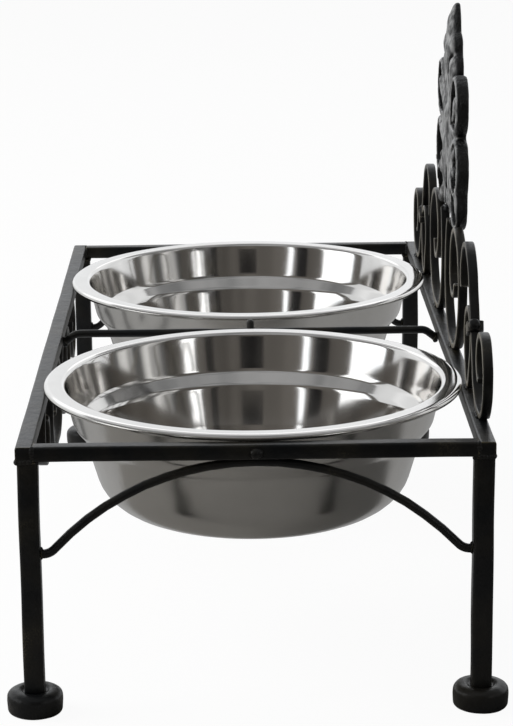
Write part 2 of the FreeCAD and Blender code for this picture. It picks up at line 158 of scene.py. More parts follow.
def worn_edges(tone, reach):
    """1 on an edge that a hand would rub, 0 on a flat."""
    soft = tone.node("Bevel", {"Radius": reach}, samples=6)
    true = tone.node("NewGeometry", outlet="Normal")
    level = tone.node("VectorMath", {0: soft, 1: true}, outlet="Value", operation="DOT_PRODUCT")
    return (1.0 - level).step(0.02, 0.16)


def iron_paint(name, paint, bare_and_highlight, rough, rub, front=0.0):
    """Thin paint over bare metal: rub wears the edges, and front paints a highlight in the bare colour on
    what faces the front, where the window lamp falls.
    """
    material, tone = new_material(name)
    cloud = grain(tone, 38.0, 4.0)
    dents = grain(tone, 150.0, 2.0)
    fine = grain(tone, 1400.0, 3.0)
    wear_and_highlight = worn_edges(tone, 0.0016) * cloud.step(0.34, 0.56) * (0.4 + fine * 0.8) * rub
    # Painted highlight: faces turned to the front, towards the window lamp, also take the pale bare colour,
    # as lit faces.
    wear_and_highlight = tone.maths("MAXIMUM", wear_and_highlight, front_side(tone, 0.6, 0.95) * cloud.step(0.15, 0.6) * front)
    rust = cloud.step(0.58, 0.76) * fine.step(0.45, 0.7) * (rub * 0.35)
    shown = tone.maths("MAXIMUM", wear_and_highlight, rust)
    patina = cloud.step(0.36, 0.66).blend(paint, colour(0.014, 0.0125, 0.0095))
    bump = tone.node("Bump", {"Strength": 0.6, "Distance": 0.0009, "Height": dents * 0.8 + fine * 0.14})
    surface = tone.node("BsdfPrincipled", {
        "Base Color": shown.blend(patina, bare_and_highlight),
        "Roughness": rough + (fine - 0.5) * 0.22 + shown * 0.16,
        "Specular IOR Level": 0.3,
        "Normal": bump,
    })
    close(tone, surface)
    return material


blue_black, olive_brown = colour(0.0042, 0.0052, 0.0064), colour(0.2, 0.17, 0.1)
# The pale brown is both the worn metal of the scroll iron and its painted highlight on faces lit from the
# front.
soot_black, pale_wear_and_highlight = colour(0.006, 0.006, 0.006), colour(0.34, 0.31, 0.25)
deep_black, dark_grey = colour(0.005, 0.0055, 0.006), colour(0.03, 0.03, 0.028)
dusty_black, warm_grey = colour(0.045, 0.045, 0.044), colour(0.22, 0.21, 0.19)
black_iron = iron_paint("black_iron", blue_black, olive_brown, 0.36, 1.0)
# The last number puts a painted highlight on the scroll faces turned to the window lamp.
scroll_iron = iron_paint("scroll_iron", soot_black, pale_wear_and_highlight, 0.34, 1.0, 0.4)
foot_iron = iron_paint("foot_iron", deep_black, dark_grey, 0.34, 0.5)
worn_iron = iron_paint("worn_iron", dusty_black, warm_grey, 0.34, 1.0)
print("iron finishes", black_iron.name, scroll_iron.name, foot_iron.name)

# %% [markdown]
# The crest is a grey casting with a mottle of its own, and its light and shade are painted into its
# colour: the hollows and the sides turned away from the front are near black as painted shade, and
# the open faces turned to the front are grey as painted light. A point that sees little of the sky
# lies in a hollow, so the test that darkens a corner gives the painted shade.


# %% Casting
def casting(name):
    material, tone = new_material(name)
    open_sky = tone.node("AmbientOcclusion", {"Distance": 0.007}, outlet="AO", samples=8, only_local=True)
    cloud = grain(tone, 150.0, 5.0)
    streak = grain(tone, 420.0, 4.0, (1.0, 1.0, 0.45))
    fine = grain(tone, 1500.0, 4.0)
    lit_front = front_side(tone, 0.4, 0.92)
    mottle = cloud.step(0.3, 0.7) * 0.55 + streak.step(0.35, 0.7) * 0.45
    # Painted light and shade: grey only where a face is open and turned to the front, near black in the
    # hollows and on the sides, with the casting's own mottle on the grey.
    light_and_mottle = open_sky.step(0.5, 0.97) * lit_front * (0.1 + mottle.step(0.05, 0.9) * 0.8)
    rims = worn_edges(tone, 0.0014) * cloud.step(0.3, 0.6) * 0.9
    tan_spot = cloud.step(0.62, 0.76) * fine.step(0.4, 0.7) * 0.5
    # The near black is painted shade and the grey is painted light.
    body = light_and_mottle.blend(colour(0.004, 0.004, 0.0045), colour(0.36, 0.364, 0.369))
    body = tan_spot.blend(body, colour(0.13, 0.11, 0.085))
    body = rims.blend(body, colour(0.4, 0.38, 0.335))
    height = streak * 0.8 + cloud * 0.6 + fine * 0.12
    bump = tone.node("Bump", {"Strength": 0.7, "Distance": 0.0026, "Height": height})
    surface = tone.node("BsdfPrincipled", {
        "Base Color": body,
        "Roughness": 0.42 + (fine - 0.5) * 0.3,
        "Specular IOR Level": 0.42,
        "Normal": bump,
    })
    close(tone, surface)
    return material


cast_grey = casting("cast_grey")
print("casting finish", cast_grey.name)

# %% [markdown]
# A pressed bowl is polished like a mirror inside and left satin outside, with fine turning lines.
# The wall is never quite true, so a wide soft bump lets the mirror image sway.


# %% Steel
def steel(name, tint, rough, sway, lines):
    material, tone = new_material(name)
    broad = grain(tone, 26.0, 1.0, (1.0, 1.0, 0.5))
    smear = grain(tone, 90.0, 4.0)
    turned = grain(tone, 40.0, 2.0, (0.3, 0.3, 90.0))
    specks = grain(tone, 2600.0, 1.0)
    height = broad * sway + turned * lines + specks * (lines * 0.2)
    bump = tone.node("Bump", {"Strength": 0.5, "Distance": 0.001, "Height": height})
    dull = tuple(0.965 * part for part in tint[:3]) + (1.0,)
    surface = tone.node("BsdfPrincipled", {
        "Base Color": smear.step(0.35, 0.7).blend(tint, dull),
        "Metallic": 1.0,
        "Roughness": rough + smear.step(0.35, 0.8) * (rough * 0.2),
        "Normal": bump,
    })
    close(tone, surface)
    return material


mirror_steel = steel("mirror_steel", colour(0.72, 0.705, 0.685), 0.095, 0.9, 0.0)
satin_steel = steel("satin_steel", colour(0.56, 0.545, 0.52), 0.2, 0.05, 0.006)
print("steel finishes", mirror_steel.name, satin_steel.name)

# %% [markdown]
# Every piece ends the same way: doubled points are joined, the skin is turned outward, and the mesh
# becomes an object that rides on its body and takes the place of the machined node. Points closer
# than the join gap count as one.


# %% Finish a piece
join_gap = 0.004


def hammer(bm, depth, size, seed=0.0):
    """Move every point a little, as uneven blows would."""
    for point in bm.verts:
        point.co += noise.noise_vector(point.co / size + Vector((seed, seed, seed))) * depth


def finish_piece(name, bm, finishes, body="stand", nodes=(), crease=38.0):
    bmesh.ops.remove_doubles(bm, verts=bm.verts, dist=join_gap)
    bmesh.ops.recalc_face_normals(bm, faces=bm.faces)
    bmesh.ops.scale(bm, vec=(MM, MM, MM), verts=bm.verts)
    mesh = bpy.data.meshes.new(name)
    bm.to_mesh(mesh)
    bm.free()
    mesh.shade_smooth()
    mesh.set_sharp_from_angle(angle=radians(crease))
    piece = bpy.data.objects.new(name, mesh)
    bpy.context.scene.collection.objects.link(piece)
    for finish in finishes:
        mesh.materials.append(finish)
    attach(piece, body)
    if nodes:
        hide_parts(*nodes)
    return piece


print("ready to finish pieces")

# %% [markdown]
# A smith draws a bar through a die and bends it round a form. Here a closed ring of edges is the
# die: it is carried along straight runs and round bends, and the skin it leaves behind is the bar.
# A bend to the left has a positive angle. The bar ends in a small chamfer, as a sawn end would.


# %% Bars
end_chamfer, end_share = 0.3, 0.84


def strip_ring(bm, wide, thick, corner, along_wide, along_thick, spot):
    """A rectangular ring with rounded corners, standing at a spot."""
    before = set(bm.faces)
    points = bmesh.ops.create_grid(bm, x_segments=1, y_segments=1, size=0.5)["verts"]
    turn = Matrix((along_wide, along_thick, along_wide.cross(along_thick))).transposed()
    bmesh.ops.scale(bm, vec=(wide, thick, 1), verts=points)
    bmesh.ops.bevel(bm, geom=points, offset=corner, affect="VERTICES", segments=4, profile=0.5, material=-1)
    made = [face for face in bm.faces if face not in before]
    points = list({point for face in made for point in face.verts})
    bmesh.ops.delete(bm, geom=made, context="FACES_ONLY")
    bmesh.ops.transform(bm, matrix=Matrix.Translation(spot) @ turn.to_4x4(), verts=points)
    return list({edge for point in points for edge in point.link_edges})


def round_ring(bm, diameter, along, spot):
    """A round ring whose bar will run along a direction."""
    points = bmesh.ops.create_circle(bm, cap_ends=False, radius=diameter / 2, segments=20)["verts"]
    turn = UP.rotation_difference(along).to_matrix().to_4x4()
    bmesh.ops.transform(bm, matrix=Matrix.Translation(spot) @ turn, verts=points)
    return list({edge for point in points for edge in point.link_edges})


def carry(bm, edges, spot, angle, moves, u=ACROSS, v=UP, stride=4.0, cap=True):
    """Carry a ring along runs and bends in the plane of u and v, and close the end."""
    axis = u.cross(v)
    spot = spot.copy()

    def ahead(at):
        return u * cos(radians(at)) + v * sin(radians(at))

    def swept(hub, step, turn, steps):
        points = list({point for edge in edges for point in edge.verts})
        made = bmesh.ops.spin(bm, geom=points + edges, cent=hub, axis=axis, dvec=step, angle=radians(turn),
                              steps=steps, use_merge=False, use_duplicate=False)
        return [part for part in made["geom_last"] if isinstance(part, bmesh.types.BMEdge)]

    for move in moves:
        if move[0] == "run":
            steps = max(1, ceil(move[1] / stride))
            edges = swept(spot, ahead(angle) * (move[1] / steps), 0.0, steps)
            spot = spot + ahead(angle) * move[1]
        else:
            radius, turn = move[1], move[2]
            side = 1 if turn > 0 else -1
            hub = spot + ahead(angle + 90) * (radius * side)
            edges = swept(hub, Vector(), turn, max(4, ceil(abs(turn) / 5)))
            angle += turn
            spot = hub - ahead(angle + 90) * (radius * side)
    if cap:
        edges = swept(spot, ahead(angle) * end_chamfer, 0.0, 1)
        points = list({point for edge in edges for point in edge.verts})
        spot = spot + ahead(angle) * end_chamfer
        about = Matrix.Translation(-spot)
        bmesh.ops.scale(bm, vec=(end_share, end_share, end_share), space=about, verts=points)
        bmesh.ops.contextual_create(bm, geom=edges)
    return spot, angle


print("bars can be drawn")

# %% [markdown]
# The frame is four rails on four legs. Each is one square bar with eased edges. Its box comes from
# the machined model; the unevenness is a tenth or two of a millimetre, which is enough for the
# highlights to wander.


# %% Rails and legs
def square_bar(name, corner, uneven):
    low, high = box_mm(name)
    size = high - low
    long_way = max(range(3), key=lambda k: size[k])
    along = (ACROSS, DEEP, UP)[long_way]
    one, two = [axis for k, axis in enumerate((ACROSS, DEEP, UP)) if k != long_way]
    middle = (low + high) / 2
    half = size[long_way] / 2 - end_chamfer
    bm = bmesh.new()
    ring = strip_ring(bm, size.dot(one), size.dot(two), corner, one, two, middle)
    carry(bm, ring, middle, 0.0, [("run", half)], along, one)
    carry(bm, ring, middle, 180.0, [("run", half)], along, one)
    hammer(bm, uneven, 34.0, size[long_way] + middle.x)
    return finish_piece(name, bm, [black_iron], nodes=[name])


rail_names = ("front_rail", "back_rail", "right_end_rail", "left_end_rail")
rails = [square_bar(name, 1.2, 0.24) for name in rail_names]
legs = []
for end, sign in ENDS:
    for side in ("front", "back"):
        legs.append(square_bar(f"{side}_{end}_leg", 1.8, 0.34))
print("rails", len(rails), "legs", len(legs), "faces", sum(len(bar.data.polygons) for bar in rails + legs))

# %% [markdown]
# A foot is a turned pad with a rounded shoulder and a small dished seat round the leg. The profile is
# drawn as a line of points, its corners are rounded, and it is spun once round.


# %% Feet and stud
def profile(bm, corners, rounds):
    """A line through corners (radius, height) in the XZ plane, with rounded inner corners."""
    point = bmesh.ops.create_vert(bm, co=(corners[0][0], 0, corners[0][1]))["vert"][0]
    line = [point]
    for radius, height in corners[1:]:
        made = bmesh.ops.extrude_vert_indiv(bm, verts=[line[-1]])["verts"][0]
        bmesh.ops.translate(bm, vec=Vector((radius, 0, height)) - made.co, verts=[made])
        line.append(made)
    for point, reach in zip(line[1:-1], rounds):
        if reach:
            bmesh.ops.bevel(bm, geom=[point], offset=reach, affect="VERTICES", segments=8, profile=0.5,
                            material=-1)
    return list(bm.verts) + list(bm.edges)


def turn(bm, geom, steps):
    """Spin a profile once round the upright axis."""
    bmesh.ops.spin(bm, geom=geom, cent=(0, 0, 0), axis=(0, 0, 1), angle=2 * pi, steps=steps, use_merge=True)
    bmesh.ops.remove_doubles(bm, verts=bm.verts, dist=join_gap)


def foot(name):
    low, high = box_mm(name)
    radius, top = (high.x - low.x) / 2, high.z
    bm = bmesh.new()
    corners = [(0, 0.6), (radius - 4.5, 0.6), (radius - 3.2, 0), (radius - 0.5, 0), (radius, top * 0.6),
               (radius - 0.6, top), (7.6, top - 0.1), (6.2, top - 1.2), (0, top - 1.2)]
    turn(bm, profile(bm, corners, (0.3, 0.4, 2.0, 1.5, 4.3, 0.7, 0.5)), 72)
    bmesh.ops.translate(bm, vec=((low.x + high.x) / 2, (low.y + high.y) / 2, 0), verts=bm.verts)
    hammer(bm, 0.3, 11.0, low.x + low.y)
    for point in bm.verts:
        point.co.z = max(point.co.z, 0.0)
    return finish_piece(name, bm, [foot_iron], nodes=[name])


feet = [foot(f"{side}_{end}_foot") for end, sign in ENDS for side in ("front", "back")]
low, high = box_mm("centre_stud")
bm = bmesh.new()
stud_radius = (high.x - low.x) / 2
turn(bm, profile(bm, [(0, low.z), (stud_radius, low.z), (stud_radius, high.z), (0, high.z)], (0.2, 1.9)), 32)
stud = finish_piece("centre_stud", bm, [worn_iron], nodes=["centre_stud"])
print("feet", len(feet), "stud", [round(v / MM, 1) for v in stud.dimensions])

# %% [markdown]
# Round bars: an arch springs between the legs of each end and touches the rail above it, and a
# crossbar keeps the long rails apart between the bowls. Both are drawn from their middle outward.

# %% Arches and crossbar
for end, sign in ENDS:
    low, high = box_mm(f"{end}_end_arch")
    bar = high.x - low.x
    rise = (high.z - low.z) - bar
    tail, hook = 1.0, 8.0
    half_chord = (high.y - low.y) / 2 - tail
    spring = 2 * atan(rise / half_chord)
    sweep_radius = half_chord / sin(spring) - hook
    crown = Vector(((low.x + high.x) / 2, (low.y + high.y) / 2, high.z - bar / 2))
    bm = bmesh.new()
    ring = round_ring(bm, bar, DEEP, crown)
    bend = degrees(spring)
    moves = [("arc", sweep_radius, -bend), ("arc", hook, bend), ("run", tail - end_chamfer)]
    carry(bm, ring, crown, 0.0, moves, DEEP, UP)
    carry(bm, ring, crown, 0.0, moves, -DEEP, UP)
    hammer(bm, 0.25, 17.0, sign)
    finish_piece(f"{end}_end_arch", bm, [black_iron], nodes=[f"{end}_end_arch"])
    print(end, "arch radius", round(sweep_radius, 1), "bend", round(bend, 1))

low, high = box_mm("centre_crossbar")
bar = high.x - low.x
middle = Vector((0, 0, high.z - bar / 2))
bend_radius, bend, tail = 7.0, 38.0, 6.2
reach = high.y - bend_radius * sin(radians(bend)) - tail * cos(radians(bend))
bm = bmesh.new()
ring = round_ring(bm, bar, DEEP, middle)
moves = [("run", reach), ("arc", bend_radius, -bend), ("run", tail - 1.6)]
carry(bm, ring, middle, 0.0, moves, DEEP, UP)
carry(bm, ring, middle, 0.0, moves, -DEEP, UP)
hammer(bm, 0.18, 19.0, 4.0)
finish_piece("centre_crossbar", bm, [black_iron], nodes=["centre_crossbar"])
print("crossbar straight", round(2 * reach, 1))

# %% [markdown]
# The back panel is bent from one flat strip. Each scroll starts where it is welded to the rail and
# goes both ways from there, so the weld falls on a joint of the ring. The left half is the mirror
# image of the right.

# %% Scrolls of the back panel
strip_wide, strip_thick, strip_corner, flat = 5.0, 3.0, 0.75, 3.0
rail_top = box_mm("back_rail")[1].z
panel_y = sum(corner.y for corner in box_mm("right_lyre_scroll")) / 2


def spiral(radius, shares, last_turn, side=1):
    """Quarter bends that tighten; the last one stops short."""
    turns = [90.0] * (len(shares) - 1) + [last_turn]
    return [("arc", radius * share, side * bend) for share, bend in zip(shares, turns)]


def strip_scroll(name, start, branches, sign, u=ACROSS, v=UP):
    """A strip that leaves its start both ways, for one end of the stand."""
    bm = bmesh.new()
    ring = strip_ring(bm, strip_wide, strip_thick, strip_corner, DEEP, UP, start)
    for angle, moves in branches:
        carry(bm, ring, start, angle, moves, u, v)
    hammer(bm, 0.16, 13.0, start.x)
    bmesh.ops.scale(bm, vec=(sign, 1, 1), verts=bm.verts)
    return finish_piece(name, bm, [scroll_iron], nodes=[name])


s_radius = 21.5
lyre_foot = Vector((48.0, panel_y, rail_top + strip_thick / 2))
lyre_curl = [("run", flat)] + spiral(37.0, (1.0, 0.76, 0.6, 0.4, 0.26), 80.0)
lyre_neck = [("run", flat), ("arc", 34.0, -90.0), ("arc", 62.0, -28.0)]
s_foot_x = box_mm("right_s_scroll")[1].x - (flat + s_radius + strip_thick / 2)
s_foot = Vector((s_foot_x, panel_y, rail_top + strip_thick / 2))
s_curl = [("run", flat)] + spiral(s_radius, (1.0, 0.88, 0.66, 0.48), 80.0)
s_stem = [("run", flat), ("arc", 26.0, -60.0), ("run", 50.5)]
s_stem += [("arc", 25.0, 60.0), ("arc", 20.0, 84.0), ("arc", 15.5, 30.0)]
for end, sign in ENDS:
    lyre = strip_scroll(f"{end}_lyre_scroll", lyre_foot, [(0.0, lyre_curl), (180.0, lyre_neck)], sign)
    scroll = strip_scroll(f"{end}_s_scroll", s_foot, [(0.0, s_curl), (180.0, s_stem)], sign)
    print(end, "lyre", [round(v / MM) for v in lyre.dimensions])
    print(end, "s-scroll", [round(v / MM) for v in scroll.dimensions])

# %% [markdown]
# A loop link is a closed drop of the same strip: a wide bend above, a narrow one on the rail and two
# straights that touch both. A collar, a band folded round link and stem, ties them.

# %% Loop links and collars
link_top, link_low = (14.75, 26.75), (7.0, 8.5)
gap = link_top[1] - link_low[1]
lean = degrees(asin((link_top[0] - link_low[0]) / gap))
side_run = gap * cos(radians(lean))
link_low_corner, link_high_corner = box_mm("right_loop_link")
link_x = (link_low_corner.x + link_high_corner.x) / 2
toe = Vector((link_x, panel_y, rail_top + strip_thick / 2))
for end, sign in ENDS:
    bm = bmesh.new()
    ring = strip_ring(bm, strip_wide, strip_thick, strip_corner, DEEP, UP, toe)
    moves = [("arc", link_low[0], 90 - lean), ("run", side_run), ("arc", link_top[0], 180 + 2 * lean),
             ("run", side_run), ("arc", link_low[0], 90 - lean)]
    carry(bm, ring, toe, 0.0, moves, cap=False)
    bmesh.ops.remove_doubles(bm, verts=bm.verts, dist=join_gap)
    hammer(bm, 0.16, 13.0, 7.0)
    bmesh.ops.scale(bm, vec=(sign, 1, 1), verts=bm.verts)
    link = finish_piece(f"{end}_loop_link", bm, [scroll_iron], nodes=[f"{end}_loop_link"])

    low, high = box_mm("right_collar")
    centre = (low + high) / 2
    bm = bmesh.new()
    ring = strip_ring(bm, 10.4, high.y - low.y, 1.4, ACROSS, DEEP, Vector())
    for angle in (0.0, 180.0):
        carry(bm, ring, Vector(), angle, [("run", 2.6)], UP, ACROSS, stride=1.3)
    knob = bmesh.ops.create_uvsphere(bm, u_segments=24, v_segments=14, radius=3.1)["verts"]
    bmesh.ops.scale(bm, vec=(0.8, 1.0, 1.0), verts=knob)
    bmesh.ops.translate(bm, vec=(5.0, -0.6, 0.4), verts=knob)
    hammer(bm, 0.3, 4.0, 3.0)
    bmesh.ops.rotate(bm, cent=Vector(), matrix=Matrix.Rotation(radians(-30.0), 3, "Y"), verts=bm.verts)
    bmesh.ops.translate(bm, vec=centre, verts=bm.verts)
    bmesh.ops.scale(bm, vec=(sign, 1, 1), verts=bm.verts)
    finish_piece(f"{end}_collar", bm, [scroll_iron], nodes=[f"{end}_collar"])
    print(end, "link", [round(v / MM, 1) for v in link.dimensions], "lean", round(lean, 1))

# %% [markdown]
# Under the front rail hang two more scrolls, drawn in the same way with down as the second direction
# of their plane.

# %% Apron scrolls
low, high = box_mm("right_apron_scroll")
apron_back = Vector((72.0, (low.y + high.y) / 2, high.z - strip_thick / 2))
apron_run = 41.0
outward = [("run", apron_run)] + spiral(17.5, (1.0, 0.98, 0.76, 0.52), 70.0)
inward = [("run", apron_run), ("arc", 26.0, -90.0), ("arc", 19.5, -90.0), ("run", 26.0)]
inward += spiral(24.0, (1.0, 0.68, 0.5, 0.38), 70.0, -1)
for end, sign in ENDS:
    branches = [(0.0, outward), (180.0, inward)]
    apron = strip_scroll(f"{end}_apron_scroll", apron_back, branches, sign, ACROSS, -UP)
    print(end, "apron", [round(v / MM) for v in apron.dimensions])

# %% [markdown]
# The crest is one casting, so its petals must melt into each other. Each petal is the hull of two
# rounded discs on the flat back. The heap is joined into one skin, its hollows, grooves and eyes are
# cut, and a second joining and some smoothing give the soft edges of a sand casting. Places on the
# crest are measured across from its middle and up from its foot.

# %% Crest
low, high = box_mm("crest")
crest_floor, crest_back = low.z, high.y
petals = bmesh.new()


def pad(bm, x, z, radius, front, shoulder, dome=0.25, behind=0.0):
    """A disc on the back plane of the crest: its front falls away by shoulder over a share dome of it."""
    facing = Matrix.Rotation(radians(90), 4, "X")
    for start in (0.0, 30.0, 60.0, 90.0):
        share = 1.0 - dome * (1.0 - cos(radians(start)))
        height = front - shoulder * (1.0 - sin(radians(start)))
        middle = Vector((x, crest_back - (behind + height) / 2, crest_floor + z))
        bmesh.ops.create_cone(bm, cap_ends=True, segments=36, radius1=radius * share, radius2=radius * share,
                              depth=height - behind, matrix=Matrix.Translation(middle) @ facing)


def hull(target, pads):
    """The tight skin round a few pads, added to a heap of them."""
    bm = bmesh.new()
    for args in pads:
        pad(bm, *args)
    bmesh.ops.delete(bm, geom=list(bm.faces) + list(bm.edges), context="EDGES_FACES")
    made = bmesh.ops.convex_hull(bm, input=list(bm.verts))
    left_over = made["geom_interior"] + made["geom_unused"]
    spare = {part for part in left_over if isinstance(part, bmesh.types.BMVert)}
    bmesh.ops.delete(bm, geom=list(spare), context="VERTS")
    bmesh.ops.recalc_face_normals(bm, faces=bm.faces)
    skin = bpy.data.meshes.new("skin")
    bm.to_mesh(skin)
    bm.free()
    target.from_mesh(skin)
    bpy.data.meshes.remove(skin)


def both(x):
    return (1, -1) if x else (1,)


# root up, tip across, tip up, root radius, tip radius, front, shoulder, dome
petal_rows = (
    (29.3, 0.0, 77.2, 25.6, 17.1, 3.2, 1.2, 0.3),
    (35.1, 44.5, 31.6, 6.1, 16.5, 7.9, 2.6, 0.22),
    (42.1, 39.7, 65.5, 6.1, 16.5, 7.7, 2.6, 0.22),
    (56.2, 18.3, 82.5, 6.1, 9.2, 7.4, 6.0, 0.85),
    (67.9, 12.2, 93.6, 6.1, 8.5, 7.9, 6.4, 0.85),
    (14.0, 0.0, 56.2, 4.3, 7.3, 7.9, 5.0, 0.8),
    (35.1, 41.0, 12.9, 6.1, 15.0, 7.4, 2.6, 0.22),
)
for root_up, tip_x, tip_up, root_r, tip_r, front, shoulder, dome in petal_rows:
    for side in both(tip_x):
        root_x = side * min(6.0, abs(tip_x) * 0.1)
        hull(petals, [(root_x, root_up, root_r, front * 0.75, 1.8, 0.5),
                      (side * tip_x, tip_up, tip_r, front, shoulder, dome)])
hull(petals, [(0.0, 58.5, 5.0, 6.0, 2.0, 0.6), (0.0, 94.0, 11.4, 8.0, 6.6, 0.85),
              (0.0, 104.0, 9.6, 7.2, 6.0, 0.85), (0.0, 113.0, 4.0, 4.2, 3.4, 0.85)])
hull(petals, [(-26.0, 6.0, 6.0, 4.6, 1.6), (26.0, 6.0, 6.0, 4.6, 1.6)])
# stems that run up over the shield: two ends, each across, up, radius, front, shoulder
stems = (
    ((12.0, 46.0, 1.5, 6.2, 1.4), (30.0, 59.0, 1.9, 7.2, 1.6)),
    ((7.0, 64.0, 1.3, 5.6, 1.2), (15.0, 84.0, 1.7, 7.2, 1.4)),
    ((12.0, 33.0, 1.5, 6.2, 1.4), (28.0, 31.0, 2.0, 7.4, 1.6)),
    ((9.0, 14.0, 1.8, 7.0, 1.4), (10.0, 52.0, 1.3, 6.2, 1.2)),
)
for side in (1, -1):
    for stem in stems:
        hull(petals, [(side * x, *rest, 0.6) for x, *rest in stem])

eyes, hollows = bmesh.new(), bmesh.new()
eye_line = ((-8.5, 0), (8.5, 0), (0, 3.6), (0, -3.6), (4.6, 2.7), (-4.6, 2.7), (4.6, -2.7), (-4.6, -2.7))
eye_places = ((44.5, 31.6, -4.0), (41.0, 12.9, -30.0))
rib = bmesh.new()
# a cutter's front, shoulder and dome
blade = (16.0, 0.3, 0.1)
# hollows: two ends, each across, up, radius
hollow_rows = (
    ((24.0, 56.0, 3.0), (40.4, 65.8, 13.2)),
    ((24.0, 32.6, 3.0), (45.4, 32.0, 13.2)),
    ((26.0, 14.6, 3.0), (45.4, 9.0, 7.8)),
)
# ribs: two ends, each across, up, radius, front, shoulder, dome
rib_rows = (
    ((26.0, 56.0, 2.0, 6.6, 1.6, 0.6), (43.0, 67.6, 4.4, 7.4, 3.6, 0.7)),
    ((20.0, 33.0, 1.4, 6.4, 1.2, 0.6), (36.0, 27.0, 1.9, 7.2, 1.6, 0.6)),
    ((20.0, 33.0, 1.4, 6.4, 1.2, 0.6), (41.0, 40.8, 1.9, 7.2, 1.6, 0.6)),
    ((5.0, 4.0, 1.6, 6.0, 1.4, 0.6), (17.0, 26.0, 1.3, 6.8, 1.2, 0.6)),
    ((15.0, 3.0, 1.7, 6.4, 1.4, 0.6), (22.0, 22.0, 1.3, 6.9, 1.2, 0.6)),
)
# grooves that part the leaves of the tip: from and to, each across, up
grooves = (
    ((4.4, 78.0), (7.6, 90.0)), ((8.2, 92.6), (11.6, 103.6)),
    ((5.6, 73.0), (9.6, 84.6)), ((11.8, 86.4), (21.6, 92.0)),
    ((11.0, 61.0), (26.0, 77.0)),
)
for side in (1, -1):
    for x, z, slope in eye_places:
        way = Vector((cos(radians(slope)), sin(radians(slope))))
        beside = Vector((-way.y, way.x))
        spots = [Vector((x, z)) + way * along + beside * aside for along, aside in eye_line]
        hull(eyes, [(side * spot.x, spot.y, 0.7, 16.0, 0.2, 0.1, -6.0) for spot in spots])
    for hollow in hollow_rows:
        hull(hollows, [(side * x, z, radius, *blade, 2.4) for x, z, radius in hollow])
    for row in rib_rows:
        hull(rib, [(side * x, *rest, 2.0) for x, *rest in row])
for side in (1, -1):
    for groove in grooves:
        hull(hollows, [(side * x, z, 0.8, *blade, 4.4) for x, z in groove])
print("petals", len(petals.verts), "hollows", len(hollows.verts), "eyes", len(eyes.verts))


def loose(name, bm):
    mesh = bpy.data.meshes.new(name)
    bm.to_mesh(mesh)
    bm.free()
    made = bpy.data.objects.new(name, mesh)
    bpy.context.scene.collection.objects.link(made)
    return made


heap, ribs = loose("heap", petals), loose("ribs", rib)
hollow_tool, eye_tool = loose("hollow_tool", hollows), loose("eye_tool", eyes)
clean = ribs.modifiers.new("clean", "REMESH")
clean.mode, clean.voxel_size = "VOXEL", 0.6
for kind, settings in (
    ("REMESH", {"mode": "VOXEL", "voxel_size": 0.8}),
    ("BOOLEAN", {"operation": "DIFFERENCE", "object": hollow_tool, "solver": "EXACT"}),
    ("BOOLEAN", {"operation": "UNION", "object": ribs, "solver": "EXACT", "use_self": True}),
    ("BOOLEAN", {"operation": "DIFFERENCE", "object": eye_tool, "solver": "EXACT"}),
    ("REMESH", {"mode": "VOXEL", "voxel_size": 0.7}),
    ("SMOOTH", {"factor": 0.5, "iterations": 5}),
):
    step = heap.modifiers.new(kind.lower(), kind)
    for key, value in settings.items():
        setattr(step, key, value)
skin = bpy.data.meshes.new_from_object(heap.evaluated_get(bpy.context.evaluated_depsgraph_get()))
bm = bmesh.new()
bm.from_mesh(skin)
for spare in (heap, ribs, hollow_tool, eye_tool):
    bpy.data.objects.remove(spare)
bpy.data.meshes.remove(skin)
found = [[pick(point.co[k] for point in bm.verts) for k in range(3)] for pick in (min, max)]
for k, way in enumerate((ACROSS, DEEP, UP)):
    share = (high[k] - low[k]) / (found[1][k] - found[0][k])
    bmesh.ops.translate(bm, vec=way * -found[0][k], verts=bm.verts)
    bmesh.ops.scale(bm, vec=[share if way[j] else 1.0 for j in range(3)], verts=bm.verts)
    bmesh.ops.translate(bm, vec=way * low[k], verts=bm.verts)
hammer(bm, 0.16, 5.0, 2.0)
crest = finish_piece("crest", bm, [cast_grey], nodes=["crest"], crease=70.0)
print("crest faces", len(crest.data.polygons), [round(v / MM, 1) for v in crest.dimensions])

# %% [markdown]
# A bowl is pressed from one sheet: flange, steep wall, sloping band, lower wall and a round corner
# to the base. The inner line is spun, the sheet is thickened outward, and the rolled edge is added
# as its own small turn. The inside is mirror bright, the outside satin.


